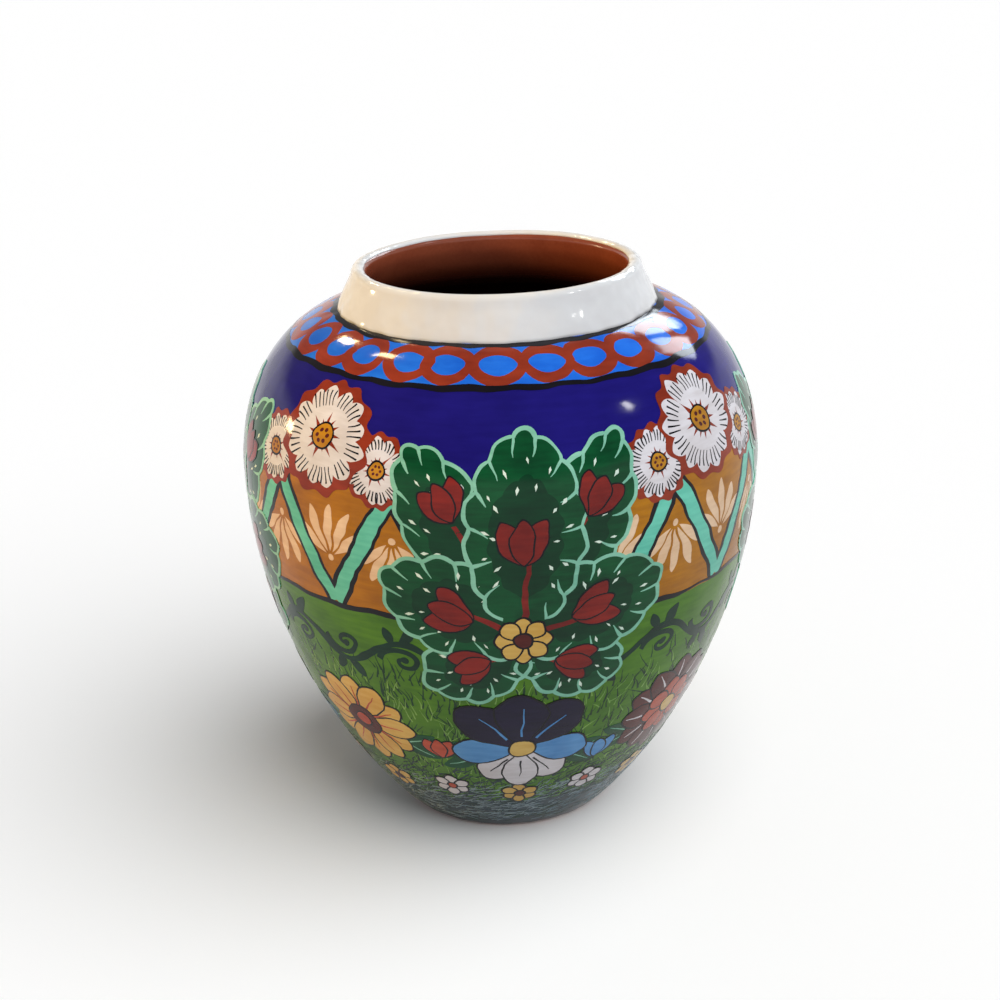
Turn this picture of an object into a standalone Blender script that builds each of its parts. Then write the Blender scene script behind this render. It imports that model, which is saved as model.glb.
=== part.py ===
"""A painted clay vase.

A squat terracotta jar, put together from a base disc, four wall rings and a collar,
under a white rim glaze and five bands of coloured slip. Metres, +Z up, with the origin
under the middle of the foot.
"""

import math

import bpy
import numpy as np

# Outline of the painted body, from the foot up to the collar
FOOT_RADIUS = 0.0312
FOOT_FLARE = math.radians(48.5)  # lean of the wall where it leaves the foot, from level
FOOT_SWEEP = 0.0429  # how strongly the wall keeps to that lean
BELLY_HEIGHT = 0.1050
BELLY_RADIUS = 0.0723
BELLY_SWEEP_BELOW = 0.0328  # how long the wall stays upright under the belly
BELLY_SWEEP_ABOVE = 0.0242  # and over it
SHOULDER_RISE = 0.0439  # from the belly to the foot of the collar
SHOULDER_SLOPE = math.radians(13.0)  # fall of the shoulder at the collar, from level
SHOULDER_SWEEP = 0.0166  # how strongly the shoulder keeps to that fall

# Collar and mouth
MOUTH_RADIUS = 0.0357
LIP_WIDTH = 0.0042  # across the half-round lip
COLLAR_FLARE = 0.0038  # how much wider the collar is at its foot
COLLAR_HEIGHT = 0.0111

# Rings that the wall is built up from, measured along the surface
FOOT_RING = 0.0560  # up from the foot
SHOULDER_RING = 0.0270  # up from the belly

# Thickness of the clay, the slip and the glaze
WALL = 0.0055
BASE_THICKNESS = 0.0070
SLIP = 0.0005
GLAZE = 0.0006

# Bands of slip, measured down the surface from the collar; the green takes what is left
BORDER_WIDTH = 0.0171
COBALT_WIDTH = 0.0258
OCHRE_WIDTH = 0.0351
FOOT_BAND_WIDTH = 0.0190
BARE_MARGIN = 0.0016  # unpainted clay above the table

# Clearance where two pieces meet
JOINT_GAP = 0.0003

# Fineness of the turned surfaces
TURN_STEPS = 48
LOWER_SPANS = 9
UPPER_SPANS = 8
LIP_SPANS = 6
SAMPLES = 400

# Sizes that follow from those above
NECK_RADIUS = MOUTH_RADIUS + LIP_WIDTH + COLLAR_FLARE
NECK_HEIGHT = BELLY_HEIGHT + SHOULDER_RISE
LIP_ROUND = LIP_WIDTH / 2
LIP_CENTRE = (MOUTH_RADIUS + LIP_ROUND, NECK_HEIGHT + COLLAR_HEIGHT - LIP_ROUND)
CLAY_DEPTH = SLIP + JOINT_GAP  # clay face under the painted surface
INNER_DEPTH = CLAY_DEPTH + WALL
COLLAR_DEPTH = GLAZE + JOINT_GAP  # collar's clay face under its glaze


def bezier(start, leave, arrive, end, count):
    """Points along a cubic curve, both ends included."""
    t = np.linspace(0.0, 1.0, count)[:, None]
    corners = [np.array(point) for point in (start, leave, arrive, end)]
    weights = ((1 - t) ** 3, 3 * (1 - t) ** 2 * t, 3 * (1 - t) * t**2, t**3)
    return sum(weight * corner for weight, corner in zip(weights, corners))


class Outline:
    """The painted outline, as radius and height against the distance down from the collar."""

    def __init__(self):
        upper = bezier(
            (NECK_RADIUS, NECK_HEIGHT),
            (
                NECK_RADIUS + SHOULDER_SWEEP * math.cos(SHOULDER_SLOPE),
                NECK_HEIGHT - SHOULDER_SWEEP * math.sin(SHOULDER_SLOPE),
            ),
            (BELLY_RADIUS, BELLY_HEIGHT + BELLY_SWEEP_ABOVE),
            (BELLY_RADIUS, BELLY_HEIGHT),
            SAMPLES,
        )
        lower = bezier(
            (BELLY_RADIUS, BELLY_HEIGHT),
            (BELLY_RADIUS, BELLY_HEIGHT - BELLY_SWEEP_BELOW),
            (
                FOOT_RADIUS + FOOT_SWEEP * math.cos(FOOT_FLARE),
                FOOT_SWEEP * math.sin(FOOT_FLARE),
            ),
            (FOOT_RADIUS, 0.0),
            SAMPLES,
        )
        self.points = np.concatenate([upper, lower[1:]])
        steps = np.linalg.norm(np.diff(self.points, axis=0), axis=1)
        self.down = np.concatenate([[0.0], np.cumsum(steps)])
        slope = np.gradient(self.points, self.down, axis=0)
        slope /= np.linalg.norm(slope, axis=1)[:, None]
        self.outward = np.stack([-slope[:, 1], slope[:, 0]], axis=1)
        self.belly = self.down[SAMPLES - 1]
        self.foot = self.down[-1]
        self.stations = np.concatenate(
            [
                np.linspace(0.0, self.belly, UPPER_SPANS + 1),
                np.linspace(self.belly, self.foot, LOWER_SPANS + 1)[1:],
            ]
        )

    def at(self, down, depth):
        """The point this far down the outline and this deep under it."""
        sunk = self.points - depth * self.outward
        return np.array([np.interp(down, self.down, sunk[:, axis]) for axis in (0, 1)])

    def down_at_height(self, height, depth):
        """How far down the outline its sunk copy comes to a height."""
        sunk = self.points[:, 1] - depth * self.outward[:, 1]
        return float(np.interp(-height, -sunk, self.down))

    def run(self, top, bottom, depth):
        """The points from one place down the outline to another."""
        between = [s for s in self.stations if top + JOINT_GAP < s < bottom - JOINT_GAP]
        return [tuple(self.at(s, depth)) for s in (top, *between, bottom)]


def collar_face(depth):
    """Half-round lip and sloping side of the collar, from the mouth over the lip to the foot."""
    turns = np.linspace(math.pi, 0.0, LIP_SPANS + 1)
    reach = LIP_ROUND - depth
    lip = [
        (LIP_CENTRE[0] + reach * math.cos(turn), LIP_CENTRE[1] + reach * math.sin(turn))
        for turn in turns
    ]
    return lip + [(NECK_RADIUS - depth, NECK_HEIGHT)]


def clay(name):
    """Bare fired terracotta, dull red-brown."""
    return material(name, (0.235, 0.068, 0.028), 0.6)


def slip(name, colour):
    """Slip paint under a gloss varnish."""
    return material(name, colour, 0.15)


def material(name, colour, roughness):
    """A non-metal finish with a linear colour."""
    finish = bpy.data.materials.new(name)
    finish.use_nodes = True
    shader = finish.node_tree.nodes["Principled BSDF"]
    shader.inputs["Base Color"].default_value = (*colour, 1.0)
    shader.inputs["Roughness"].default_value = roughness
    shader.inputs["Metallic"].default_value = 0.0
    return finish


def turned(name, section, finish, closed=True):
    """A piece turned about Z from its half section, given down its outer side first."""
    count = len(section)
    edges = [(i, i + 1) for i in range(count - 1)]
    if closed:
        edges.append((count - 1, 0))
    mesh = bpy.data.meshes.new(name)
    mesh.from_pydata([(radius, 0.0, height) for radius, height in section], edges, [])
    piece = bpy.data.objects.new(name, mesh)
    piece.data.materials.append(finish)
    bpy.data.collections["clay_vase"].objects.link(piece)
    turn = piece.modifiers.new("turn", "SCREW")
    turn.steps = TURN_STEPS
    turn.render_steps = TURN_STEPS
    turn.use_merge_vertices = True
    turn.merge_threshold = 0.00001
    turn.use_smooth_shade = True
    return piece


def base_disc(outline, seat):
    """The slab that the pot stands on, with a bevelled edge under the wall."""
    top = seat + JOINT_GAP
    rim = tuple(outline.at(top, INNER_DEPTH))
    side = outline.run(top, outline.foot - BARE_MARGIN, CLAY_DEPTH)
    ground = (FOOT_RADIUS - CLAY_DEPTH, 0.0)
    section = [(0.0, rim[1]), rim, *side, ground, (0.0, 0.0)]
    return turned("base_disc", section, clay("base_clay"), closed=False)


def wall_ring(outline, name, top, bottom):
    """One ring of the wall, with its ends square to its faces."""
    outer = outline.run(top, bottom, CLAY_DEPTH)
    inner = outline.run(top, bottom, INNER_DEPTH)
    return turned(name, outer + inner[::-1], clay(name + "_clay"))


def neck_wall(outline, bottom):
    """The top ring of the wall, drawn in to the mouth, with a level seat for the collar."""
    outer = outline.run(0.0, bottom, CLAY_DEPTH)
    inner = outline.run(0.0, bottom, INNER_DEPTH)
    seat_height = outer[0][1]
    bore = [(MOUTH_RADIUS, inner[0][1]), (MOUTH_RADIUS, seat_height)]
    return turned("neck_wall", outer + inner[::-1] + bore, clay("neck_wall_clay"))


def walls(outline, seat):
    """The four rings from the mouth down to the base."""
    shoulder = outline.belly - SHOULDER_RING
    foot = outline.foot - FOOT_RING
    neck_wall(outline, shoulder)
    wall_ring(outline, "shoulder_wall", shoulder + JOINT_GAP, outline.belly)
    wall_ring(outline, "belly_wall", outline.belly + JOINT_GAP, foot)
    wall_ring(outline, "foot_wall", foot + JOINT_GAP, seat)


def neck_collar(outline):
    """The ring round the mouth, rebated at its lip for the glaze."""
    foot_height = outline.at(0.0, CLAY_DEPTH)[1] + JOINT_GAP
    face = collar_face(COLLAR_DEPTH)
    foot_radius = face[-1][0]
    rebate = LIP_CENTRE[1] - JOINT_GAP
    section = [
        *face[:-1],
        (foot_radius, foot_height),
        (MOUTH_RADIUS, foot_height),
        (MOUTH_RADIUS, rebate),
        (MOUTH_RADIUS + COLLAR_DEPTH, rebate),
    ]
    return turned("neck_collar", section, clay("collar_clay"))


def rim_glaze():
    """White glaze over the collar and its lip."""
    outer = collar_face(0.0)
    inner = collar_face(GLAZE)
    return turned("rim_glaze", outer + inner[::-1], material("white_glaze", (0.76, 0.72, 0.68), 0.12))


def slip_band(outline, name, top, bottom, colour):
    """One band of slip on the clay, from one place down the outline to another."""
    outer = outline.run(top + JOINT_GAP, bottom, 0.0)
    inner = outline.run(top + JOINT_GAP, bottom, SLIP)
    return turned(name, outer + inner[::-1], slip(name + "_finish", colour))


def slip_bands(outline):
    """The five bands of colour, from the collar to the foot."""
    border = BORDER_WIDTH
    cobalt = border + COBALT_WIDTH
    ochre = cobalt + OCHRE_WIDTH
    end = outline.foot - BARE_MARGIN
    green = end - FOOT_BAND_WIDTH
    slip_band(outline, "blue_border", JOINT_GAP, border, (0.013, 0.159, 0.745))
    slip_band(outline, "cobalt_band", border, cobalt, (0.010, 0.007, 0.162))
    slip_band(outline, "ochre_band", cobalt, ochre, (0.434, 0.168, 0.005))
    slip_band(outline, "green_band", ochre, green, (0.076, 0.254, 0.016))
    slip_band(outline, "foot_band", green, end, (0.042, 0.072, 0.098))


def main():
    for old in list(bpy.data.objects):
        bpy.data.objects.remove(old)
    bpy.context.scene.collection.children.link(bpy.data.collections.new("clay_vase"))
    outline = Outline()
    seat = outline.down_at_height(BASE_THICKNESS, INNER_DEPTH)
    base_disc(outline, seat)
    walls(outline, seat)
    neck_collar(outline)
    rim_glaze()
    slip_bands(outline)


main()
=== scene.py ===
import math

import bmesh
import bpy
import numpy as np
from mathutils import Matrix, Vector


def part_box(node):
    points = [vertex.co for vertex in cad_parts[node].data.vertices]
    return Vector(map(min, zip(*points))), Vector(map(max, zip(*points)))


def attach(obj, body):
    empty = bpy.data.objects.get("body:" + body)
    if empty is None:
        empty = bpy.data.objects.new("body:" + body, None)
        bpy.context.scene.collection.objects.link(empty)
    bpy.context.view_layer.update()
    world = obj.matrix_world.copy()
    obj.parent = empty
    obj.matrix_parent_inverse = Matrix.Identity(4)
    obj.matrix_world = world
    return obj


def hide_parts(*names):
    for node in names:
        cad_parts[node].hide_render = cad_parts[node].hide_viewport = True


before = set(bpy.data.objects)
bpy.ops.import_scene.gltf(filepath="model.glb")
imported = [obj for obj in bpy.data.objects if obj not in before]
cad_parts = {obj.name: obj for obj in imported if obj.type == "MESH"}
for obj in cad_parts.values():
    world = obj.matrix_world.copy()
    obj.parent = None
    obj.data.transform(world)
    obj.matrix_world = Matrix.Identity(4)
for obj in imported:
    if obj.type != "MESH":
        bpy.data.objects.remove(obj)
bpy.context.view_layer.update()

MM = 0.001
chance = np.random.default_rng(20)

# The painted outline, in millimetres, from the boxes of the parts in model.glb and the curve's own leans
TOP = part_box("rim_glaze")[1][2] / MM
NECK_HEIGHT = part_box("rim_glaze")[0][2] / MM
NECK_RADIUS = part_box("rim_glaze")[1][0] / MM
BELLY_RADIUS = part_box("ochre_band")[1][0] / MM
BELLY_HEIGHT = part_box("shoulder_wall")[0][2] / MM
FOOT_RADIUS = 31.2
FOOT_FLARE = math.radians(48.5)
FOOT_SWEEP = 42.9
BELLY_SWEEP_BELOW = 32.8
BELLY_SWEEP_ABOVE = 24.2
SHOULDER_SLOPE = math.radians(13.0)
SHOULDER_SWEEP = 16.6
MOUTH_RADIUS = 35.7
WALL = 5.5

# Where the colours change, down the surface from the collar
BORDER_END = 17.1
COBALT_END = 42.9
OCHRE_END = 78.0
GREEN_END = 151.2
PAINT_END = 170.2
FRONT = 4.0  # turn of the front palmette, in degrees

# Thickness of the paint. A level counts coats up from the ground colours, and overlapping shapes of two
# colours lie at two levels, apart from the finest hairs.
COAT = 0.015  # one coat over another
SINK = 0.25  # how deep a coat's underside lies in the clay
CLAY_DEPTH = 0.10  # bare clay under the first coat
BLOSSOM_LEVEL = 6
PALMETTE_LEVEL = 11
LEAFLET_LEVEL = 5
FLOWER_LEVEL = 7

# Fineness of the paint
CELL = 1.6  # largest cell of a painted shape, so that it follows the body
ROW = 1.5  # largest step down a band
TURNS = 288  # steps of a full ring


def bezier(start, leave, arrive, end, count=600):
    """Points along a cubic curve, both ends included."""
    t = np.linspace(0.0, 1.0, count)[:, None]
    corners = [np.array(point) for point in (start, leave, arrive, end)]
    weights = ((1 - t) ** 3, 3 * (1 - t) ** 2 * t, 3 * (1 - t) * t**2, t**3)
    return sum(weight * corner for weight, corner in zip(weights, corners))


def painted_outline():
    """Radius and height from the collar down to the foot, the distance down, and the outward slope."""
    upper = bezier(
        (NECK_RADIUS, NECK_HEIGHT),
        (
            NECK_RADIUS + SHOULDER_SWEEP * math.cos(SHOULDER_SLOPE),
            NECK_HEIGHT - SHOULDER_SWEEP * math.sin(SHOULDER_SLOPE),
        ),
        (BELLY_RADIUS, BELLY_HEIGHT + BELLY_SWEEP_ABOVE),
        (BELLY_RADIUS, BELLY_HEIGHT),
    )
    lower = bezier(
        (BELLY_RADIUS, BELLY_HEIGHT),
        (BELLY_RADIUS, BELLY_HEIGHT - BELLY_SWEEP_BELOW),
        (FOOT_RADIUS + FOOT_SWEEP * math.cos(FOOT_FLARE), FOOT_SWEEP * math.sin(FOOT_FLARE)),
        (FOOT_RADIUS, 0.0),
    )
    points = np.concatenate([upper, lower[1:]])
    down = np.concatenate([[0.0], np.cumsum(np.linalg.norm(np.diff(points, axis=0), axis=1))])
    slope = np.gradient(points, down, axis=0)
    slope /= np.linalg.norm(slope, axis=1)[:, None]
    return points, down, np.stack([-slope[:, 1], slope[:, 0]], axis=1)


OUTLINE, OUTLINE_DOWN, OUTLINE_OUT = painted_outline()


def on_outline(down, values):
    """Values that are kept along the outline, read at distances down it."""
    return np.stack([np.interp(down, OUTLINE_DOWN, values[:, axis]) for axis in (0, 1)], axis=-1)


def by_hand(points):
    """The small unevenness of hand work, in metres: not quite round, with a mouth that isn't level."""
    x, y, z = (points[:, axis] / MM for axis in (0, 1, 2))
    turn = np.arctan2(x, -y)
    rise = np.clip(z / TOP, 0.0, 1.0)
    swell = 0.0022 * np.sin(2 * turn + 0.6) + 0.0012 * np.sin(3 * turn + 4.0 * rise)
    grow = 1.0 + swell * rise
    lift = 0.011 * x * np.clip((z - 120.0) / 30.0, 0.0, 1.0) ** 2
    return np.stack([x * grow, y * grow, z + lift], axis=1) * MM


def wrap(flat):
    """Lays flat paint on the vase with an unsteady hand: (distance round at the belly, height up the
    surface, lift), all in mm. Returns places in metres and the surface's outward directions."""
    turn = flat[:, 0] / BELLY_RADIUS
    down = -flat[:, 1]
    sway = 0.30 * np.sin(0.52 * down + 9 * turn) + 0.18 * np.sin(1.15 * down - 31 * turn)
    dip = 0.24 * np.sin(29 * turn + 0.16 * down) + 0.05 * np.sin(67 * turn - 0.4 * down)
    turn = turn + sway / BELLY_RADIUS
    base = on_outline(down + dip, OUTLINE)
    out = on_outline(down + dip, OUTLINE_OUT)
    out /= np.linalg.norm(out, axis=1)[:, None]
    reach = base[:, 0] + out[:, 0] * flat[:, 2]
    height = base[:, 1] + out[:, 1] * flat[:, 2]
    places = np.stack([reach * np.sin(turn), -reach * np.cos(turn), height], axis=1) * MM
    facing = np.stack([out[:, 0] * np.sin(turn), -out[:, 0] * np.cos(turn), out[:, 1]], axis=1)
    return by_hand(places), facing


def linear(code):
    """A hex sRGB colour as linear red, green, blue and alpha."""
    parts = [int(code[i : i + 2], 16) / 255 for i in (1, 3, 5)]
    return (*[p / 12.92 if p <= 0.04045 else ((p + 0.055) / 1.055) ** 2.4 for p in parts], 1.0)


def add(tree, kind, inputs=None, **settings):
    """Adds a node with its settings, each input set to a value or linked to another node's output."""
    made = tree.nodes.new(kind)
    for name, value in settings.items():
        setattr(made, name, value)
    for name, value in (inputs or {}).items():
        if isinstance(value, bpy.types.NodeSocket):
            tree.links.new(value, made.inputs[name])
        else:
            made.inputs[name].default_value = value
    return made


def blank(name):
    """A new material's node tree with its coordinates and its shader."""
    finish = bpy.data.materials.new(name)
    finish.use_nodes = True
    tree = finish.node_tree
    tree.nodes.clear()
    where = add(tree, "ShaderNodeTexCoord").outputs["Object"]
    shader = add(tree, "ShaderNodeBsdfPrincipled")
    add(tree, "ShaderNodeOutputMaterial", {"Surface": shader.outputs["BSDF"]})
    return finish, tree, where, shader


def link(tree, shader, **inputs):
    """Links outputs to the shader's inputs, named with underscores for spaces."""
    for name, output in inputs.items():
        tree.links.new(output, shader.inputs[name.replace("_", " ")])


def varnished_slip(name, colour, shade):
    """Coloured slip brushed on by hand and varnished: the colour drifts from thin to thick strokes that
    run round the pot, and the clear varnish over it is glossy with a slow ripple."""
    patch, streak, wave = 11.0, 9.0, 12.0  # sizes of the patterns, in mm
    finish, tree, where, shader = blank(name)
    drift = add(tree, "ShaderNodeTexNoise", {"Vector": where, "Scale": 1 / (patch * MM), "Detail": 3.0})
    stretched = add(tree, "ShaderNodeMapping", {"Vector": where, "Scale": (1.0, 1.0, 7.0)})
    streaks = add(
        tree, "ShaderNodeTexNoise",
        {"Vector": stretched.outputs["Vector"], "Scale": 1 / (streak * MM), "Detail": 4.0},
    )
    both = add(
        tree, "ShaderNodeMix",
        {"Factor": 0.45, "A": drift.outputs["Fac"], "B": streaks.outputs["Fac"]}, data_type="FLOAT",
    )
    spread = add(
        tree, "ShaderNodeMapRange",
        {"Value": both.outputs["Result"], "From Min": 0.36, "From Max": 0.64},
    )
    mixed = add(tree, "ShaderNodeMix", {"Factor": spread.outputs["Result"]}, data_type="RGBA")
    mixed.inputs["A"].default_value = linear(shade)
    mixed.inputs["B"].default_value = linear(colour)
    ripple = add(tree, "ShaderNodeTexNoise", {"Vector": where, "Scale": 1 / (wave * MM), "Detail": 1.5})
    bump = add(
        tree, "ShaderNodeBump",
        {"Height": ripple.outputs["Fac"], "Strength": 0.5, "Distance": 0.55 * MM},
    )
    link(tree, shader, Base_Color=mixed.outputs["Result"], Normal=bump.outputs["Normal"])
    shader.inputs["Roughness"].default_value = 0.10
    shader.inputs["IOR"].default_value = 1.5
    shader.inputs["Specular IOR Level"].default_value = 0.2
    return finish


def brushed_glaze():
    """White tin glaze brushed thickly round the rim: glossy, slightly mottled between two whites, with
    soft lumps where it ran."""
    cloud, lump = 16.0, 7.0  # sizes of the patterns, in mm
    finish, tree, where, shader = blank("brushed_white_tin_glaze")
    mottle = add(tree, "ShaderNodeTexNoise", {"Vector": where, "Scale": 1 / (cloud * MM), "Detail": 4.0})
    mixed = add(tree, "ShaderNodeMix", {"Factor": mottle.outputs["Fac"]}, data_type="RGBA")
    mixed.inputs["A"].default_value = linear("#D6D3D2")
    mixed.inputs["B"].default_value = linear("#E8E6E5")
    lumps = add(tree, "ShaderNodeTexNoise", {"Vector": where, "Scale": 1 / (lump * MM), "Detail": 1.0})
    bump = add(
        tree, "ShaderNodeBump",
        {"Height": lumps.outputs["Fac"], "Strength": 1.0, "Distance": 0.85 * MM},
    )
    link(tree, shader, Base_Color=mixed.outputs["Result"], Normal=bump.outputs["Normal"])
    shader.inputs["Roughness"].default_value = 0.12
    shader.inputs["IOR"].default_value = 1.5
    return finish


def fired_terracotta():
    """Red earthenware, wiped smooth on the wheel and glazed thinly inside: warm red-brown with darker
    flecks and faint rings round the pot, a soft gloss, and painted shade: the colour darkens towards near
    black down inside the hollow."""
    patch, fleck, ring = 12.0, 0.9, 5.0  # sizes of the patterns, in mm
    finish, tree, where, shader = blank("fired_terracotta")
    drift = add(tree, "ShaderNodeTexNoise", {"Vector": where, "Scale": 1 / (patch * MM), "Detail": 5.0})
    grit = add(tree, "ShaderNodeTexNoise", {"Vector": where, "Scale": 1 / (fleck * MM), "Detail": 2.0})
    both = add(
        tree, "ShaderNodeMix",
        {"Factor": 0.3, "A": drift.outputs["Fac"], "B": grit.outputs["Fac"]}, data_type="FLOAT",
    )
    mixed = add(tree, "ShaderNodeMix", {"Factor": both.outputs["Result"]}, data_type="RGBA")
    mixed.inputs["A"].default_value = linear("#702E1C")
    mixed.inputs["B"].default_value = linear("#9E5238")
    # Painted shade: below the mouth the clay colour is mixed towards near black (#200A05). This stands in
    # for the shade down inside the hollow. Near the foot it is left out.
    height = add(tree, "ShaderNodeSeparateXYZ", {"Vector": where})
    painted_shade_below_mouth = add(
        tree, "ShaderNodeMapRange",
        {"Value": height.outputs["Z"], "From Min": (TOP - 15) * MM, "From Max": (TOP - 4) * MM,
         "To Min": 1.0, "To Max": 0.0},
    )
    above_foot = add(
        tree, "ShaderNodeMapRange",
        {"Value": height.outputs["Z"], "From Min": 4.0 * MM, "From Max": 9.0 * MM},
    )
    # deep: the share of painted shade at each height
    deep = add(
        tree, "ShaderNodeMath",
        {0: painted_shade_below_mouth.outputs["Result"], 1: above_foot.outputs["Result"]}, operation="MULTIPLY",
    )
    with_painted_shade = add(
        tree, "ShaderNodeMix", {"Factor": deep.outputs["Value"]}, data_type="RGBA",
    )
    tree.links.new(mixed.outputs["Result"], with_painted_shade.inputs["A"])
    with_painted_shade.inputs["B"].default_value = linear("#200A05")
    rings = add(
        tree, "ShaderNodeTexWave",
        {"Vector": where, "Scale": 0.31 / (ring * MM), "Distortion": 1.5, "Detail": 2.0},
        bands_direction="Z",
    )
    bump = add(
        tree, "ShaderNodeBump",
        {"Height": rings.outputs["Fac"], "Strength": 0.25, "Distance": 0.3 * MM},
    )
    link(tree, shader, Base_Color=with_painted_shade.outputs["Result"], Normal=bump.outputs["Normal"])
    shader.inputs["Roughness"].default_value = 0.22
    shader.inputs["IOR"].default_value = 1.5
    return finish


VASE = bpy.data.collections.new("vase")
GROUND = bpy.data.collections.new("ground")


def dress(piece, slot, *nodes):
    """Hangs a finished piece on the part."""
    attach(piece, "root")
    VASE.objects.link(piece)
    if nodes:
        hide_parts(*nodes)


def solid(name, shape, finish):
    """An object from a finished bmesh, which is freed."""
    mesh = bpy.data.meshes.new(name)
    shape.to_mesh(mesh)
    shape.free()
    mesh.materials.append(finish)
    piece = bpy.data.objects.new(name, mesh)
    bpy.context.scene.collection.objects.link(piece)
    return piece


def turned(name, section, finish, steps=TURNS, lumps=None):
    """A closed body spun about Z from its half section in mm, then given its unevenness."""
    shape = bmesh.new()
    ends_on_axis = section[0][0] < 1e-6
    verts = [shape.verts.new((radius * MM, 0.0, height * MM)) for radius, height in section]
    pairs = list(zip(verts, verts[1:])) + ([] if ends_on_axis else [(verts[-1], verts[0])])
    edges = [shape.edges.new(pair) for pair in pairs]
    bmesh.ops.spin(
        shape, geom=verts + edges, cent=(0, 0, 0), axis=(0, 0, 1),
        angle=2 * math.pi, steps=steps, use_merge=True,
    )
    bmesh.ops.remove_doubles(shape, verts=shape.verts[:], dist=1e-6)
    bmesh.ops.recalc_face_normals(shape, faces=shape.faces[:])
    piece = solid(name, shape, finish)
    places = np.empty(len(piece.data.vertices) * 3)
    piece.data.vertices.foreach_get("co", places)
    places = places.reshape(-1, 3)
    if lumps is not None:
        places = lumps(places)
    piece.data.vertices.foreach_set("co", by_hand(places).ravel())
    piece.data.shade_smooth()
    return piece


def fired_clay():
    """The clay itself, as one fired wall: foot, outside under the paint, lip, and the hollow inside."""
    row, floor_height, floor_flat = 2.5, 7.0, 12.0
    wall_face = CLAY_DEPTH + WALL + 0.7
    standing_ring = 24.0  # inner radius of the ring that it stands on
    rows = np.arange(0.0, OUTLINE_DOWN[-1], row)
    outside = on_outline(rows, OUTLINE) - CLAY_DEPTH * on_outline(rows, OUTLINE_OUT)
    inside = on_outline(rows, OUTLINE) - wall_face * on_outline(rows, OUTLINE_OUT)
    inside = inside[inside[:, 0] > MOUTH_RADIUS]
    across_lip = ((0.1, 1.8), (0.3, 1.35), (0.75, 0.9), (1.6, 0.6), (2.6, 0.9), (3.6, 2.4))
    lip = [(MOUTH_RADIUS + out, TOP - drop) for out, drop in across_lip]
    bore = bezier(
        (MOUTH_RADIUS, TOP - 2.4), (MOUTH_RADIUS + 0.2, TOP - 8.0),
        (MOUTH_RADIUS + 2.6, TOP - 13.4), tuple(inside[0]), 16,
    )
    floor = bezier(
        tuple(inside[-4]), tuple(inside[-2]),
        (2 * floor_flat, floor_height), (floor_flat, floor_height), 12,
    )
    underside = [
        (FOOT_RADIUS - 1.0, 0.25), (FOOT_RADIUS - 2.4, 0.0),
        (standing_ring, 0.0), (standing_ring - 2.0, 0.7), (0.0, 0.9),
    ]
    section = [
        (0.0, floor_height), *floor[::-1], *inside[:-4][::-1], *bore[::-1][1:], *lip,
        (NECK_RADIUS - 0.8, NECK_HEIGHT), *outside[1:], *underside,
    ]
    piece = turned("fired_clay_body", section, fired_terracotta(), steps=192)
    dress(
        piece, "terracotta",
        "base_disc", "foot_wall", "belly_wall", "shoulder_wall", "neck_wall", "neck_collar",
    )


def white_rim():
    """The white glaze: a soft roll over the lip and down the collar, thicker where it ran."""
    lip_round = 2.1
    inner_end, outer_end = math.radians(139), math.radians(12)  # of the roll over the lip
    middle = (MOUTH_RADIUS + lip_round, TOP - lip_round)
    turns = np.linspace(inner_end, outer_end, 14)
    lip = [(middle[0] + lip_round * math.cos(a), middle[1] + lip_round * math.sin(a)) for a in turns]
    side = bezier(
        lip[-1], (lip[-1][0] + 0.9, TOP - 5.0),
        (NECK_RADIUS - 0.4, NECK_HEIGHT + 3.0), (NECK_RADIUS + 0.2, NECK_HEIGHT + 0.1), 12,
    )[1:]
    hem = [(NECK_RADIUS - 0.5, NECK_HEIGHT - 0.5), (NECK_RADIUS - 2.6, NECK_HEIGHT + 0.4)]
    back = [(MOUTH_RADIUS + 3.0, TOP - 3.4), (MOUTH_RADIUS + 1.2, TOP - 1.9)]

    def lumps(places):
        """The low swells of a brushed glaze, with a ragged hem."""
        x, y, z = (places[:, axis] / MM for axis in (0, 1, 2))
        turn = np.arctan2(x, -y)
        swell = 0.20 * np.sin(3 * turn + 0.4) + 0.13 * np.sin(7 * turn + 1.7)
        swell += 0.05 * np.sin(16 * turn + 0.5 * z)
        ragged = np.sin(9 * turn + 1.0) + 0.8 * np.sin(21 * turn + 2.0) + 0.5 * np.sin(43 * turn)
        hem_share = np.clip((NECK_HEIGHT + 1.2 - z) / 1.2, 0.0, 1.0)
        grow = 1 + (0.6 * swell + 0.16 * hem_share * ragged) / np.hypot(x, y)
        return np.stack([x * grow, y * grow, z + 0.25 * swell], axis=1) * MM

    piece = turned("white_rim_glaze", lip + list(side) + hem + back, brushed_glaze(), lumps=lumps)
    dress(piece, "white_glaze", "rim_glaze")


def place(points, angle, down, lean=0.0):
    """Sets a shape, drawn in mm about its own origin with y up, onto the flat paint: a turn in degrees
    from the front, a distance down from the collar, and its own lean."""
    tilt = math.radians(lean)
    points = np.asarray(points, dtype=float)
    x = points[:, 0] * math.cos(tilt) - points[:, 1] * math.sin(tilt)
    y = points[:, 0] * math.sin(tilt) + points[:, 1] * math.cos(tilt)
    girth = np.interp(down, OUTLINE_DOWN, OUTLINE[:, 0])
    return np.stack([math.radians(angle) * BELLY_RADIUS + x * BELLY_RADIUS / girth, y - down], axis=1)


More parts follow.
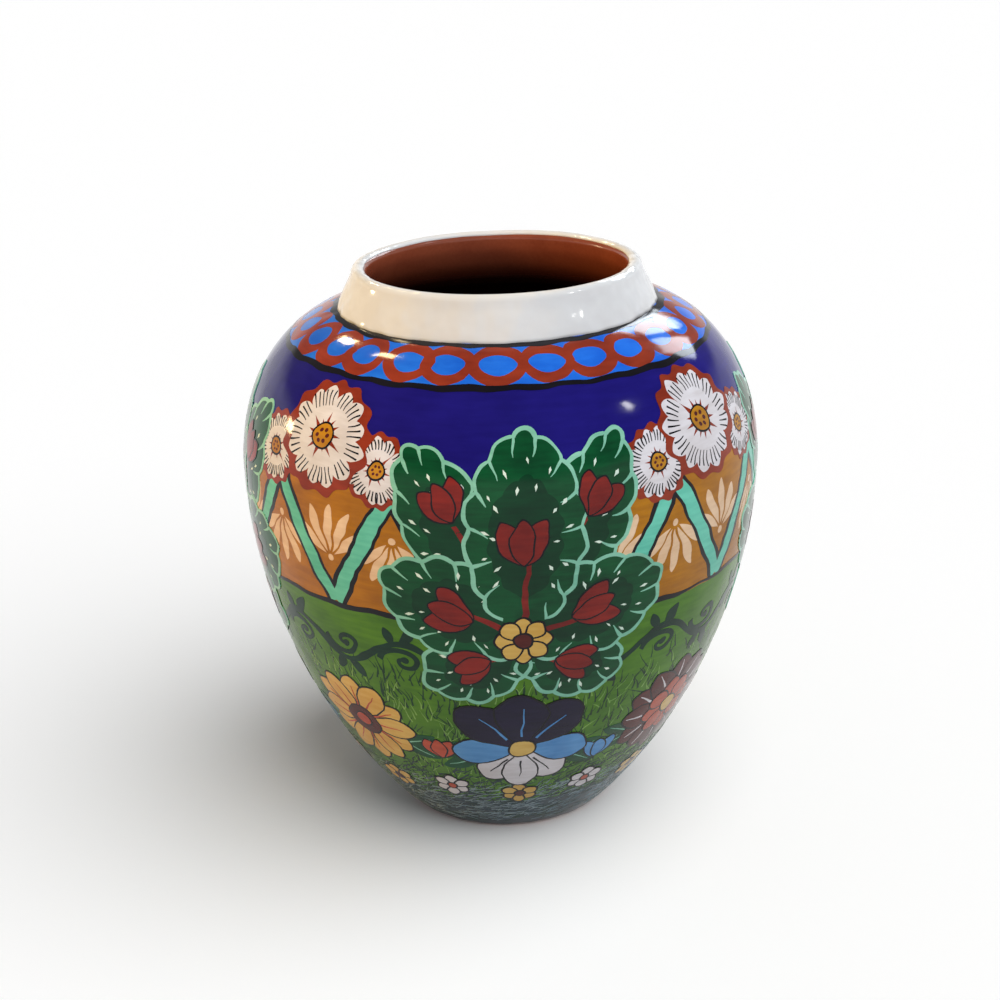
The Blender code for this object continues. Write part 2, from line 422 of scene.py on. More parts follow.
class Paint:
    """One colour of slip. Shapes are laid flat, and done() thickens them and wraps them on the vase."""

    def __init__(self, name, slot, colour, shade):
        self.name = name
        self.slot = slot
        self.finish = varnished_slip(name + "_varnished_slip", colour, shade)
        self.flat = bmesh.new()
        self.rings = bmesh.new()

    def area(self, outline, level):
        """A filled shape, cut into cells."""
        shape = bmesh.new()
        shape.faces.new([shape.verts.new((x, y, level * COAT)) for x, y in outline])
        for axis in (0, 1):
            normal = (1 - axis, axis, 0)
            low, high = outline[:, axis].min(), outline[:, axis].max()
            for k in range(1, int((high - low) / CELL) + 1):
                cut = low + k * (high - low) / (int((high - low) / CELL) + 1)
                bmesh.ops.bisect_plane(
                    shape, geom=shape.verts[:] + shape.edges[:] + shape.faces[:], dist=1e-5,
                    plane_co=(cut * normal[0], cut * normal[1], 0), plane_no=normal,
                )
        shape.normal_update()
        bmesh.ops.reverse_faces(shape, faces=[face for face in shape.faces if face.normal.z < 0])
        laid = bpy.data.meshes.new("laid")
        shape.to_mesh(laid)
        shape.free()
        self.flat.from_mesh(laid)
        bpy.data.meshes.remove(laid)

    def stroke(self, path, width, level):
        """A brush stroke along a path, with a width at each point or one for all."""
        path = np.asarray(path, dtype=float)
        width = np.ones(len(path)) * width
        along = np.gradient(path, axis=0)
        if np.allclose(path[0], path[-1]):
            along[0] = along[-1] = path[1] - path[-2]
        along /= np.maximum(np.linalg.norm(along, axis=1), 1e-9)[:, None]
        side = np.stack([-along[:, 1], along[:, 0]], axis=1) * width[:, None] / 2
        lanes = int(width.max() / CELL) + 1
        verts = bmesh.ops.create_grid(
            self.flat, x_segments=len(path) - 1, y_segments=lanes, size=0.5,
        )["verts"]
        verts.sort(key=lambda vert: (round(vert.co.y, 4), vert.co.x))
        spots = [path + side * share for share in np.linspace(-1, 1, lanes + 1)]
        for vert, spot in zip(verts, np.concatenate(spots)):
            vert.co = (*spot, level * COAT)

    def band(self, top, bottom, level, waver=0.0, seed=0.0):
        """A ring right round the vase, with edges that waver by hand."""
        count = max(1, int((bottom - top) / ROW))
        edge = [(y, level * COAT) for y in np.linspace(-top, -bottom, count + 1)]
        loop = edge + [(y, -SINK) for y, _ in edge[::-1]]
        verts = [self.rings.verts.new((0.0, y, z)) for y, z in loop]
        edges = [self.rings.edges.new((verts[i - 1], verts[i])) for i in range(len(verts))]
        girth = 2 * math.pi * BELLY_RADIUS
        last = bmesh.ops.spin(
            self.rings, geom=verts + edges, cent=(0, 0, 0), axis=(0, 0, 1),
            dvec=(girth / TURNS, 0, 0), angle=0.0, steps=TURNS,
        )["geom_last"]
        ends = [item for item in last if isinstance(item, bmesh.types.BMVert)]
        starts = {(round(v.co.y, 4), round(v.co.z, 4)): v for v in verts}
        pairs = {end: starts[(round(end.co.y, 4), round(end.co.z, 4))] for end in ends}
        bmesh.ops.weld_verts(self.rings, targetmap=pairs)
        for vert in self.rings.verts:
            if -bottom - 0.01 <= vert.co.y <= -top + 0.01 and not vert.tag:
                vert.tag = True
                turn = vert.co.x / BELLY_RADIUS
                share = (vert.co.y + bottom) / (bottom - top)
                upper = math.sin(7 * turn + seed) + 0.7 * math.sin(17 * turn + 2 * seed)
                lower = math.sin(6 * turn + 3 * seed) + 0.7 * math.sin(19 * turn + seed)
                vert.co.y += waver * (share * upper + (1 - share) * lower)

    def done(self, *nodes):
        """The finished piece: thick, wrapped onto the vase, with the surface's own directions on top."""
        shape = self.flat
        extruded = bmesh.ops.extrude_face_region(shape, geom=shape.faces[:], use_keep_orig=True)
        raised = {item for item in extruded["geom"] if isinstance(item, bmesh.types.BMVert)}
        for vert in shape.verts:
            if vert not in raised:
                vert.co.z = -SINK
        bmesh.ops.recalc_face_normals(shape, faces=shape.faces[:])
        laid = bpy.data.meshes.new("rings")
        self.rings.to_mesh(laid)
        self.rings.free()
        shape.from_mesh(laid)
        bpy.data.meshes.remove(laid)
        flat = np.array([vert.co for vert in shape.verts])
        places, facing = wrap(flat)
        for vert, spot in zip(shape.verts, places):
            vert.co = spot
        piece = solid(self.name, shape, self.finish)
        mesh = piece.data
        mesh.shade_smooth()
        corners = np.empty(len(mesh.loops), dtype=int)
        mesh.loops.foreach_get("vertex_index", corners)
        counts = np.empty(len(mesh.polygons), dtype=int)
        mesh.polygons.foreach_get("loop_total", counts)
        sides = np.empty(len(mesh.polygons) * 3)
        mesh.polygons.foreach_get("normal", sides)
        sides = np.repeat(sides.reshape(-1, 3), counts, axis=0)
        face = np.repeat(np.arange(len(counts)), counts)
        lowest = np.full(len(counts), np.inf)
        np.minimum.at(lowest, face, flat[corners, 2])
        on_top = lowest[face] > -SINK / 2
        mesh.normals_split_custom_set(np.where(on_top[:, None], facing[corners], sides).tolist())
        dress(piece, self.slot, *nodes)


def ellipse(width, height, count=28):
    """An oval outline about its own middle."""
    turns = np.linspace(0, 2 * math.pi, count, endpoint=False)
    return np.stack([width / 2 * np.cos(turns), height / 2 * np.sin(turns)], axis=1)


def closed(path):
    """A path that comes back to its first point."""
    return np.concatenate([path, path[:1]])


def petal(length, width, fullness, rise=0.0):
    """A petal or plain leaf that starts at its own origin and points up. Fuller ones are widest near
    the tip."""
    points_a_side = 13
    t = 0.5 - 0.5 * np.cos(np.linspace(0.0, math.pi, points_a_side))
    half = width / 2 * np.sin(math.pi * t**fullness) ** 0.62
    right = np.stack([half, length * t + rise], axis=1)
    left = np.stack([-half, length * t + rise], axis=1)
    return np.concatenate([right, left[-2:0:-1]])


def shifted(angle, down, x, y):
    """A place x mm to the right of another and y mm above it."""
    girth = np.interp(down, OUTLINE_DOWN, OUTLINE[:, 0])
    return angle + math.degrees(x / girth), down - y


def bent(length, bend, count):
    """A stroke's path that starts at its own origin, rises and bends to one side."""
    t = np.linspace(0.0, 1.0, count)
    return np.stack([bend * t**2, length * t], axis=1)


def tapered(width, count, thin=0.25):
    """A brush stroke's width: full at the start, thin at the end."""
    return width * np.linspace(1.0, thin, count)


def inked(fill, black, outline, level, line=0.55, **spot):
    """A filled shape with a black line round it."""
    middle = outline.mean(axis=0)
    away = outline - middle
    reach = np.linalg.norm(away, axis=1)[:, None]
    black.area(place(middle + away * (1 + line / reach), **spot), level)
    fill.area(place(outline, **spot), level + 1)


def chain_border(paints):
    """The border: a chain of rust rings on blue, between two black lines."""
    rings, ring_width, ring_height, brush = 27, 11.6, 10.4, 3.5
    middle = 8.6  # of the chain, down from the collar
    for k in range(rings):
        angle = 360 / rings * k + chance.normal(0, 0.4)
        size = (ring_width + chance.normal(0, 0.4), ring_height + chance.normal(0, 0.25))
        ring = closed(place(ellipse(*size), angle, middle, lean=chance.normal(0, 5)))
        paints["rust"].stroke(ring, brush + 0.4 * np.sin(np.linspace(0, 5, len(ring)) + k), 2)
    paints["black"].band(-0.2, 2.1, 4, 0.22, 1.0)
    paints["black"].band(15.3, 17.0, 4, 0.15, 2.0)


def girdle(paints):
    """The ochre girdle: a turquoise zigzag outlined in black, with a sprig of pale dabs in each point."""
    bars, bar_width, line_width = 24, 3.7, 6.0
    sprig = ((0, 13.0), (27, 12.4), (-27, 12.4), (52, 10.4), (-52, 10.4))  # lean and length of each dab
    step = 360 / bars
    top, bottom = COBALT_END + 1.2, OCHRE_END - 1.0
    middle = (top + bottom) / 2
    t = np.linspace(0, 1, 18)
    for k in range(bars):
        flip = 1 if k % 2 else -1
        half = 0.5 * math.radians(step) * BELLY_RADIUS
        path = np.stack([flip * half * (2 * t - 1), (bottom - top) * (0.5 - t)], axis=1)
        spot = place(path, step * k + chance.normal(0, 0.25), middle)
        paints["black"].stroke(spot, line_width + 0.3 * np.sin(4 * t + k), 3)
        paints["turquoise"].stroke(spot, bar_width + 0.3 * np.sin(6 * t + 2 * k), 4)
        turn = step * (k + 0.5)
        foot_of_sprig = middle + 4.0 * flip
        for lean, long in sprig:
            dab = petal(long * chance.uniform(0.92, 1.08), 3.0, 1.5, rise=1.8)
            paints["peach"].area(place(dab, turn, foot_of_sprig, lean + (0 if flip > 0 else 180)), 2)
        paints["peach"].area(place(ellipse(2.0, 2.0, 10), turn, foot_of_sprig), 2)
    paints["black"].band(COBALT_END - 0.6, COBALT_END + 0.8, 5, 0.18, 4.0)
    paints["black"].band(OCHRE_END - 0.7, OCHRE_END + 0.6, 5, 0.2, 5.0)


def scalloped_leaf(paints, width, height, level, **spot):
    """A broad leaf with a scalloped edge: green, darker within, edged in mint with a hook at each notch,
    and two rows of white ticks."""
    reach = 0.84 * math.pi  # how far round from the tip the scallops go
    lobes = int((width + height) / 6.2) | 1
    steps = 7  # points along a scallop
    deep = 0.05 * width
    heart = np.array([0.0, height * 0.5])

    def edge(turn, inset=0.0):
        """The place on the leaf's edge at a turn from its tip, moved in by an inset."""
        share = (turn + reach) / (2 * reach)
        bump = deep * abs(math.sin(lobes * math.pi * share)) if abs(turn) < reach else 0.0
        x = width / 2 * math.sin(turn) * (1 + 0.16 * math.cos(turn))
        y = height / 2 * (1 + math.cos(turn)) + 0.07 * height * max(0.0, math.cos(turn)) ** 9
        out = np.array([math.sin(turn) / width, math.cos(turn) / height])
        out /= np.linalg.norm(out)
        return np.array([x, y]) + out * (bump - inset)

    turns = np.linspace(-reach, reach, lobes * steps + 1)
    outline = np.array([edge(turn) for turn in turns] + [(1.2, 0.4), (0.0, 0.0), (-1.2, 0.4)])
    paints["leaf"].area(place(outline, **spot), level)
    paints["leaf_dark"].area(place((outline - heart) * 0.60 + heart, **spot), level + 0.6)
    for k in range(lobes):
        lobe = np.linspace(turns[steps * k], turns[steps * k + steps], 10)
        arc = [edge(turn, 0.45) for turn in lobe]
        inward = (heart - arc[-1]) / np.linalg.norm(heart - arc[-1])
        curl = np.array([inward[1], -inward[0]]) * chance.normal(0.5, 0.4)
        hook = [arc[-1] + inward * far + curl * (far / 4.5) ** 2 for far in (1.2, 2.4, 3.6, 4.8)]
        thick = np.concatenate([np.full(10, 1.0), (0.85, 0.65, 0.45, 0.2)])
        line = place(np.array(arc + hook), **spot)
        paints["mint"].stroke(line, thick * chance.uniform(0.85, 1.2), level + 1)
    for far in (0.52, 0.72):
        count = int(far * (width + height) / 5.0)
        for k in range(count):
            turn = 1.6 * math.pi * ((k + 0.5 + chance.uniform(-0.2, 0.2)) / count - 0.5)
            away = edge(turn) - heart
            spin = -math.atan2(*away)
            tick = np.array([(0, -1.1), (0.45, 0.2), (0.05, 1.1), (-0.4, 0.2)])
            tick *= chance.uniform(0.75, 1.15)
            across, along = math.cos(spin), math.sin(spin)
            turned_tick = tick @ np.array([(across, along), (-along, across)])
            spot_in_leaf = heart + away * far * chance.uniform(0.95, 1.05)
            paints["fleck"].area(place(turned_tick + spot_in_leaf, **spot), level + 1.5)


def tulip(paints, colour, size, level, angle, down, lean):
    """A bud of three petals."""
    for side, long in ((-26, 10.5), (26, 10.5), (0, 9.6)):
        coat = level + 2 * (side == 0)
        shape = petal(long * size, 4.9 * size, 1.1)
        inked(paints[colour], paints["black"], shape, coat, 0.45, angle=angle, down=down, lean=lean + side)


def palmette(paints, angle, level):
    """A fan of seven scalloped leaves, each with a bud, that springs from a small flower."""
    # Lean, width, height, distance down, step aside, and how far up the bud sits
    fan = (
        (-30, 23, 53, 80, -1, 0.66), (30, 23, 53, 80, 1, 0.66),
        (-112, 22, 29, 85, -2, 0.40), (112, 22, 29, 85, 2, 0.40),
        (-68, 26, 38, 83, -2, 0.42), (68, 26, 38, 83, 2, 0.42),
        (0, 28, 49, 80, 0, 0.38),
    )
    middle = 83  # of the small flower, down from the collar
    top = level + 8
    for k, (lean, width, height, down, x, share) in enumerate(fan):
        spot = dict(angle=shifted(angle, down, x, 0)[0], down=down, lean=lean + chance.normal(0, 2))
        coat = level + 2 * (k // 2)
        far = height * share
        scalloped_leaf(paints, width, height, coat, **spot)
        stalk = place(bent(far + 1.5, 0.8, 12), **spot)
        paints["wine"].stroke(stalk, tapered(1.9, 12, 0.6), coat + 1.5)
        tilt = math.radians(lean)
        bud = shifted(angle, down, x - far * math.sin(tilt), far * math.cos(tilt))
        tulip(paints, "wine", (width + 10) / 31, top, *bud, lean)
    petals(paints, "yellow", 8, 6.0, 4.4, top + 4, angle, middle, rise=1.0)
    eye(paints, "maroon", 4.2, top + 8, angle, middle)


def blossom(paints, size, level, angle, down):
    """A white many-petalled blossom: rust behind the petals and black hairs at their tips."""
    count = 13
    first = chance.uniform(0, 360)
    disc = ellipse(size * 1.1, size * 1.1, 8 * count)
    disc *= (1 + 0.05 * np.sin(np.linspace(0, 2 * math.pi * count, 8 * count, endpoint=False)))[:, None]
    paints["rust"].area(place(disc, angle, down), level)
    for k in range(count):
        lean = first + 360 / count * k + chance.normal(0, 2)
        shape = petal(size * 0.40 * chance.uniform(0.93, 1.05), size * 0.20, 1.7, rise=size * 0.10)
        paints["white"].area(place(shape, angle, down, lean), level + 1)
        for side in (-1.0, 0.0, 1.0):
            hair = bent(size * 0.15, 0.5 * side, 5) + (side * size * 0.045, size * 0.30)
            paints["black"].stroke(place(hair, angle, down, lean), tapered(0.26, 5, 1.9), level + 2)
    eye(paints, "ochre", size * 0.24, level + 2, angle, down)
    ring = size * 0.062
    for k in range(6):
        turn = k * math.pi / 3
        seed = ellipse(size * 0.045, size * 0.045, 8) + (ring * math.cos(turn), ring * math.sin(turn))
        paints["maroon"].area(place(seed, angle, down), level + 4)


def petals(paints, colour, count, length, width, level, angle, down, start=0.0, rise=1.5, spread=360.0):
    """A ring or fan of petals outlined in black."""
    for k in range(count):
        lean = start + spread / count * k + chance.normal(0, 1.5)
        shape = petal(length * chance.uniform(0.95, 1.05), width, 1.45, rise=rise)
        coat = level + 2 * (k % 2)
        inked(paints[colour], paints["black"], shape, coat, angle=angle, down=down, lean=lean)


def eye(paints, colour, size, level, angle, down):
    """A flower's round middle."""
    inked(paints[colour], paints["black"], ellipse(size, size, 18), level, angle=angle, down=down)


def veins(paints, colour, count, start, length, level, angle, down, rise, spread=360.0):
    """One brush line along each petal."""
    for k in range(count):
        line = bent(length, 0.3, 5) + (0.0, rise)
        spot = place(line, angle, down, start + spread / count * k)
        paints[colour].stroke(spot, tapered(0.75, 5, 0.35), level)


def yellow_daisy(paints, angle, down, level):
    """A daisy of twelve yellow petals with coral veins and a dark eye."""
    petals(paints, "yellow", 12, 15.0, 7.8, level, angle, down)
    veins(paints, "coral", 12, 0.0, 8.0, level + 4, angle, down, 5.0)
    eye(paints, "maroon", 10.4, level + 5, angle, down)
    eye(paints, "coral", 4.6, level + 7, angle, down)


def blue_iris(paints, angle, down, level):
    """A flower of three navy petals over two blue and three white ones."""
    petals(paints, "white", 3, 16.5, 10.4, level, angle, down, 142, spread=114)
    petals(paints, "sky", 2, 17.5, 10.8, level + 4, angle, down, 96, spread=336)
    petals(paints, "navy", 3, 20.0, 12.8, level + 8, angle, down, -40, spread=120)
    veins(paints, "sky", 3, -40, 11.0, level + 12, angle, down, 5.5, spread=120)
    veins(paints, "black", 3, 142, 8.0, level + 4, angle, down, 6.0, spread=114)
    eye(paints, "yellow", 6.8, level + 12, angle, down)


def maroon_rosette(paints, angle, down, level):
    """A double flower, coral within maroon."""
    petals(paints, "maroon", 12, 16.0, 8.8, level, angle, down)
    veins(paints, "white", 12, 0.0, 6.0, level + 4, angle, down, 10.0)
    petals(paints, "coral", 8, 9.0, 6.0, level + 5, angle, down, 10, rise=0.8)
    eye(paints, "yellow", 5.8, level + 9, angle, down)


def white_lily(paints, angle, down, level):
    """An open white flower of six petals with a coral eye."""
    petals(paints, "white", 6, 17.5, 10.2, level, angle, down)
    veins(paints, "black", 6, 0.0, 10.0, level + 4, angle, down, 4.0)
    eye(paints, "coral", 6.6, level + 5, angle, down)
    eye(paints, "yellow", 3.2, level + 7, angle, down)


def small_leaf(paints, level, angle, down, lean, size):
    """A plain pointed leaf with a mint rib."""
    paints["leaf"].area(place(petal(11.0 * size, 5.0 * size, 0.85), angle, down, lean), level)
    rib = bent(8.5 * size, 0.4, 5) + (0.0, 0.8)
    paints["mint"].stroke(place(rib, angle, down, lean), tapered(0.7, 5), level + 1)


def tendril(paints, down, level):
    """A running tendril right round the vase: a waved stem, a curl inside each wave and leaves outside."""
    waves, swing = 12, 4.6
    turns = np.linspace(-math.pi, math.pi, 720)
    stem = np.stack([turns * BELLY_RADIUS, swing * np.sin(waves * turns) - down], axis=1)
    paints["tendril"].stroke(stem, 1.9 + 0.3 * np.sin(31 * turns), level)
    coil = np.linspace(0.0, 2.6 * math.pi, 36)
    reach = 7.2 * np.exp(-0.23 * coil)
    for k in range(2 * waves):
        side = -1 if k % 2 else 1
        angle = 180 / waves * (k + 0.5)
        middle = down + 1.6 * side
        curl = np.stack([-reach * np.cos(coil), 0.78 * side * reach * np.sin(coil)], axis=1)
        paints["tendril"].stroke(place(curl, angle, middle), tapered(1.8, 36, 0.6), level)
        paints["tendril"].area(place(ellipse(2.3, 2.3, 12) + curl[-1], angle, middle), level)
        lean = -34 if side > 0 else 214
        large = place(petal(7.0, 3.4, 0.9), angle, down - 4.4 * side, lean)
        small = place(petal(5.4, 2.8, 0.9), angle - 2.0, down - 4.2 * side, lean + 62 * side)
        paints["tendril"].area(large, level)
        paints["tendril"].area(small, level)


def hatch(paint, count, top, bottom, length, slant, spread, width, level, crowd=1.0):
    """Short brush hairs scattered over a band. They crowd to its lower edge where crowd is over one, and
    to its upper edge where it is under."""
    for _ in range(count):
        down = bottom - (bottom - top) * chance.uniform() ** crowd
        path = bent(length * chance.uniform(0.6, 1.3), chance.normal(0, 0.6), 4)
        spot = place(path, chance.uniform(0, 360), down, lean=chance.normal(slant, spread))
        paint.stroke(spot, tapered(width * chance.uniform(0.7, 1.3), 4), level)


def meadow(paints):
    """The green ground: hatched grass, the tendril, and a ring of large and small flowers."""
    upright = dict(bottom=GREEN_END, slant=0, crowd=0.9)
    hatch(paints["grass_dark"], 2300, OCHRE_END + 18, length=5.0, spread=22, width=0.60, level=1, **upright)
    hatch(paints["grass_pale"], 1000, OCHRE_END + 22, length=4.2, spread=28, width=0.42, level=2, **upright)
    hatch(
        paints["grass_dark"], 900, GREEN_END - 30, GREEN_END,
        length=3.8, slant=-62, spread=22, width=0.48, level=2.5, crowd=1.6,
    )
    tendril(paints, 91.0, 4)
    kinds = (blue_iris, maroon_rosette, white_lily, yellow_daisy)
    flowers = 2 * len(kinds)
    step = 360 / flowers
    flower_row, small_row = 123, 146.5  # down from the collar
    stagger = 3  # how much every other flower rises
    for k in range(flowers):
        angle, down = FRONT + step * k, flower_row - stagger * (k % 2)
        for side in (-1, 1):
            for lean, lower in ((118, 4), (62, 6)):
                spot = shifted(angle, down, side * 11.0, -lower)
                small_leaf(paints, LEAFLET_LEVEL, *spot, -side * lean, 1.15)
        kinds[k % len(kinds)](paints, angle, down, FLOWER_LEVEL)
        bud = shifted(angle + step / 2, down, 0, -9)
        for lean in (34, -34):
            small_leaf(paints, LEAFLET_LEVEL, *bud, lean, 0.9)
        tulip(paints, "coral" if k % 2 else "sky", 0.8, FLOWER_LEVEL, *bud, 0)
    for k in range(2 * flowers):
        angle, down = FRONT + step / 2 * k, small_row - stagger * (k % 2)
        petals(paints, "white" if k % 2 else "yellow", 6, 4.4, 3.3, FLOWER_LEVEL, angle, down, rise=0.6)
        eye(paints, "coral" if k % 2 else "maroon", 2.4, FLOWER_LEVEL + 4, angle, down)


def foot(paints):
    """The slate foot, hatched round in pale and dark hairs that run up into the grass."""
    hatch(
        paints["slate"], 1100, GREEN_END - 17, GREEN_END + 1,
        length=3.8, slant=-66, spread=20, width=0.62, level=3, crowd=2.2,
    )
    hatch(
        paints["grass_dark"], 800, GREEN_END - 2, PAINT_END - 2,
        length=3.4, slant=-68, spread=18, width=0.5, level=2,
    )
    hatch(
        paints["frost"], 2100, GREEN_END - 9, PAINT_END - 2,
        length=3.2, slant=-68, spread=18, width=0.34, level=3.5, crowd=0.8,
    )


def grounds():
    """The five ground colours, each overlapping the one below it."""
    bands = (
        ("slate_foot_ground", "slate_slip", "foot_band", "#364A54", "#24343C"),
        ("grass_ground", "green_slip", "green_band", "#558619", "#3F6C14"),
        ("ochre_ground", "ochre_slip", "ochre_band", "#BA780C", "#9A5E08"),
        ("cobalt_ground", "cobalt_slip", "cobalt_band", "#1C1476", "#160E68"),
        ("blue_border_ground", "blue_slip", "blue_border", "#2474E4", "#135CCE"),
    )
    places = (
        (GREEN_END - 0.6, PAINT_END, 0),
        (OCHRE_END - 0.6, GREEN_END + 0.5, 0.5),
        (COBALT_END - 0.6, OCHRE_END + 0.4, 1),
        (BORDER_END - 0.8, COBALT_END + 0.3, 0.5),
        (-0.4, BORDER_END - 0.8, 1),
    )
    for seed, ((name, slot, node, colour, shade), (top, bottom, level)) in enumerate(zip(bands, places)):
        ground = Paint(name, slot, colour, shade)
        ground.band(top, bottom, level, 0.15, seed)
        ground.done(node)


# Each colour of brushwork: its piece, the slot that it goes with, and its colour where thick and thin
COLOURS = {
    "rust": ("rust_brush_paint", "blue_slip", "#98371F", "#7E2A18"),
    "black": ("black_brush_lines", "cobalt_slip", "#17141C", "#0E0C12"),
    "peach": ("peach_sprigs", "ochre_slip", "#F2CFAC", "#DDB48C"),
    "turquoise": ("turquoise_bars", "ochre_slip", "#74D2B8", "#58B8A0"),
    "leaf": ("leaf_green_paint", "green_slip", "#08542D", "#053E22"),
    "leaf_dark": ("deep_green_leaf_hearts", "green_slip", "#054024", "#04301C"),
    "mint": ("mint_leaf_edges", "green_slip", "#93CFB4", "#78B79C"),
    "fleck": ("white_leaf_flecks", "green_slip", "#E8F4E4", "#CFE2D2"),
    "wine": ("wine_red_buds", "green_slip", "#8F261E", "#6C1A18"),
    "white": ("white_petals", "cobalt_slip", "#E8E2E6", "#D2CACB"),
    "ochre": ("ochre_flower_eyes", "ochre_slip", "#C88A1E", "#A66C12"),
    "yellow": ("pale_yellow_petals", "green_slip", "#E2BC68", "#D0A04A"),
    "sky": ("sky_blue_petals", "green_slip", "#62A0D8", "#4A86C2"),
    "navy": ("navy_petals", "green_slip", "#1E1638", "#140E28"),
    "maroon": ("maroon_petals", "green_slip", "#62241F", "#481816"),
    "coral": ("coral_petals", "green_slip", "#C9583E", "#A8432F"),
    "tendril": ("dark_green_tendril", "green_slip", "#0C3826", "#08281C"),
    "grass_dark": ("dark_grass_hairs", "green_slip", "#1A4220", "#102E18"),
    "grass_pale": ("pale_grass_hairs", "green_slip", "#8FB45A", "#6E9A48"),
    "slate": ("slate_foot_hairs", "slate_slip", "#2E4048", "#1E2C32"),
    "frost": ("pale_foot_hairs", "slate_slip", "#98A8AE", "#74868E"),
}


def paint_vase():
    """All the paint, from the grounds up."""
    quarter = 90
    blossom_row = 35  # down from the collar
    # Size of each blossom in a cluster, its steps aside and up, and its level over the first
    cluster = ((18.0, -18, -5, 0), (17.0, 18, -4, 0), (27.0, 0, 2, 3))
    grounds()
    paints = {key: Paint(*values) for key, values in COLOURS.items()}
    chain_border(paints)
    girdle(paints)
    for k in range(4):
        palmette(paints, FRONT + quarter * k, PALMETTE_LEVEL)
        for size, x, y, over in cluster:
            spot = shifted(FRONT + quarter * (k + 0.5), blossom_row, x, y)
            blossom(paints, size, BLOSSOM_LEVEL + over, *spot)
    meadow(paints)
    foot(paints)
    for paint in paints.values():
        paint.done()


def seen(tree):
    """One for rays from the camera and for mirrored ones, and none for the light that bounces."""
    path = add(tree, "ShaderNodeLightPath")
    first = add(
        tree, "ShaderNodeMath",
        {0: path.outputs["Is Camera Ray"], 1: path.outputs["Is Glossy Ray"]}, operation="MAXIMUM",
    )
    both = add(
        tree, "ShaderNodeMath",
        {0: first.outputs["Value"], 1: path.outputs["Is Transmission Ray"]}, operation="MAXIMUM",
    )
    return both.outputs["Value"]


def stage():
    """A floor that is white to the eye and keeps the vase's shadow, but sends little light back up."""
    glow = 0.02  # lift of the shadow
    half_width = 6.0
    shape = bmesh.new()
    bmesh.ops.create_grid(shape, x_segments=1, y_segments=1, size=half_width)
    finish = bpy.data.materials.new("matt_white_floor")
    finish.use_nodes = True
    tree = finish.node_tree
    tree.nodes.clear()
    in_sight = seen(tree)
    colour = add(tree, "ShaderNodeMix", {"Factor": in_sight}, data_type="RGBA")
    colour.inputs["A"].default_value = (0.25, 0.25, 0.25, 1.0)
    colour.inputs["B"].default_value = (1.0, 1.0, 1.0, 1.0)
    paper = add(tree, "ShaderNodeBsdfDiffuse", {"Color": colour.outputs["Result"]})
    strength = add(tree, "ShaderNodeMath", {0: in_sight, 1: glow}, operation="MULTIPLY")
    lift = add(tree, "ShaderNodeEmission", {"Strength": strength.outputs["Value"]})
    both = add(tree, "ShaderNodeAddShader", {0: paper.outputs["BSDF"], 1: lift.outputs["Emission"]})
    add(tree, "ShaderNodeOutputMaterial", {"Surface": both.outputs["Shader"]})
    floor = solid("floor", shape, finish)
    GROUND.objects.link(floor)


def surroundings():
    """Plain soft light from all round, and a white horizon that is seen and mirrored but lights nothing."""
    white, overhead = 0.98, 0.23
    white_to, plain_from = 0.13, 0.30  # rise of the sky, as a share of straight up
    world = bpy.data.worlds.new("studio")
    bpy.context.scene.world = world
    world.use_nodes = True
    tree = world.node_tree
    tree.nodes.clear()
    where = add(tree, "ShaderNodeTexCoord").outputs["Generated"]
    height = add(tree, "ShaderNodeSeparateXYZ", {"Vector": where})
    horizon = add(
        tree, "ShaderNodeMapRange",
        {"Value": height.outputs["Z"], "From Min": white_to, "From Max": plain_from,
         "To Min": white, "To Max": overhead},
        interpolation_type="SMOOTHSTEP",
    )
    strength = add(
        tree, "ShaderNodeMix",
        {"Factor": seen(tree), "A": overhead, "B": horizon.outputs["Result"]}, data_type="FLOAT",
    )
    light = add(
        tree, "ShaderNodeBackground",
        {"Color": (1.0, 1.0, 1.0, 1.0), "Strength": strength.outputs["Result"]},
    )
    add(tree, "ShaderNodeOutputWorld", {"Surface": light.outputs["Background"]})


def hang(name, light, spot, lit, mirrored=False):
    """Puts a light in its place, turned to the vase. It lights one collection, and the varnish mirrors
    it or not."""
    holder = bpy.data.objects.new(name, light)
    holder.location = spot
    away = Vector(spot) - Vector((0.0, 0.0, TOP * MM / 2))
    holder.rotation_euler = away.to_track_quat("Z", "Y").to_euler()
    holder.visible_glossy = mirrored
    holder.light_linking.receiver_collection = lit
    bpy.context.scene.collection.objects.link(holder)


def sun(name, spot, strength, colour, lit):
    """A broad, soft light from far off."""
    light = bpy.data.lights.new(name, "SUN")
    light.energy = strength
    light.angle = math.radians(72)
    light.color = colour
    hang(name, light, spot, lit)


def lamp(name, spot, width, height, power, colour, mirrored=False):
    """A soft rectangular lamp on the vase."""
    light = bpy.data.lights.new(name, "AREA")
    light.shape = "RECTANGLE"
    light.size = width
    light.size_y = height
    light.energy = power
    light.color = colour
    hang(name, light, spot, VASE, mirrored)


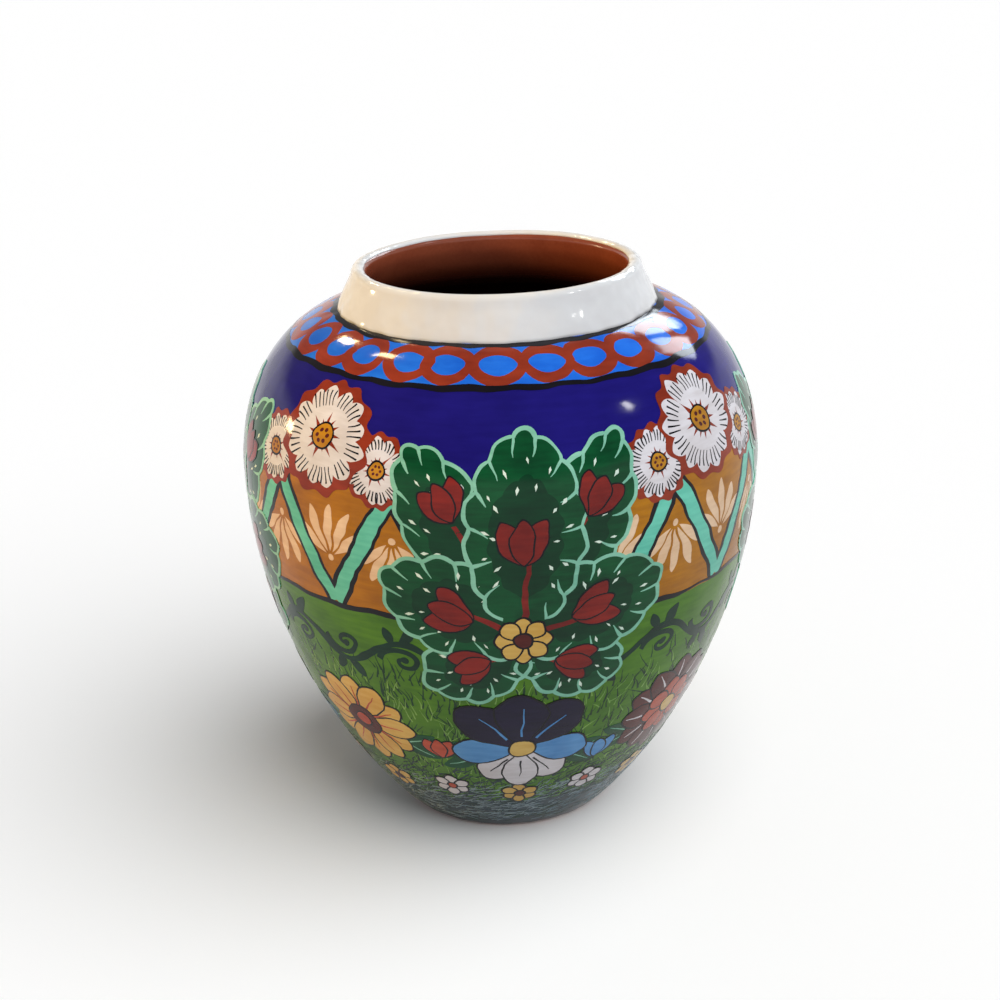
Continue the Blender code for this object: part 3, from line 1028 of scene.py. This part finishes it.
def lamps():
    """Daylight from high on the right, a fill in front, a warm lamp on the left, windows behind on the
    right, and small warm bulbs on the left that the varnish mirrors. The floor has a daylight of its own,
    so that it can be white with a neutral shadow."""
    sun("floor_daylight", (1.02, -0.60, 1.90), 2.80, (1.0, 1.0, 1.0), GROUND)
    sun("daylight", (0.84, -0.78, 1.70), 1.65, (0.84, 0.93, 1.0), VASE)
    lamp("front_fill", (0.30, -1.30, 0.45), 0.9, 0.6, 5.8, (0.97, 0.985, 1.0))
    lamp("warm_side", (-1.15, -0.25, 0.55), 0.4, 0.4, 9.0, (1.0, 0.62, 0.15))
    lamp("key_glint", (0.95, -0.30, 0.92), 0.08, 0.10, 1.0, (1.0, 0.98, 0.96), mirrored=True)
    for number, spot in enumerate(((0.44, 0.96, 0.75), (0.74, 0.72, 0.75))):
        lamp("window_pane_%d" % number, spot, 0.28, 0.33, 3.3, (0.84, 0.92, 1.0), mirrored=True)
    for number, spot in enumerate(((-0.40, 0.47, 0.93), (-0.94, 0.26, 0.24), (-0.43, 0.72, 0.74))):
        lamp("warm_bulb_%d" % number, spot, 0.08, 0.08, 1.1, (1.0, 0.78, 0.42), mirrored=True)


def camera():
    """The photograph's viewpoint: about three heights off, looking down on the vase."""
    distance = 3.0 * TOP * MM
    elevation = math.radians(22.5)
    pan, tilt, roll = -0.0008, 0.0184, math.radians(-1.2)
    lens_px, photo_px = 1649.0, 1000  # focal length and width of the photograph
    back = Vector((0.0, -math.cos(elevation), math.sin(elevation)))
    right = Vector((1.0, 0.0, 0.0))
    up = back.cross(right)
    ahead = (pan * right + tilt * up - back).normalized()
    right = ahead.cross(up).normalized()
    up = right.cross(ahead)
    right, up = (
        math.cos(roll) * right + math.sin(roll) * up,
        math.cos(roll) * up - math.sin(roll) * right,
    )
    view = bpy.data.cameras.new("photo_camera")
    view.sensor_width = 36.0
    view.lens = view.sensor_width * lens_px / photo_px
    holder = bpy.data.objects.new("photo_camera", view)
    bpy.context.scene.collection.objects.link(holder)
    turn = Matrix((right, up, -ahead)).transposed().to_4x4()
    holder.matrix_world = Matrix.Translation(back * distance + Vector((0, 0, TOP * MM / 2))) @ turn
    bpy.context.scene.camera = holder


fired_clay()
white_rim()
paint_vase()
stage()
surroundings()
lamps()
camera()
bpy.context.scene.view_settings.view_transform = "Standard"
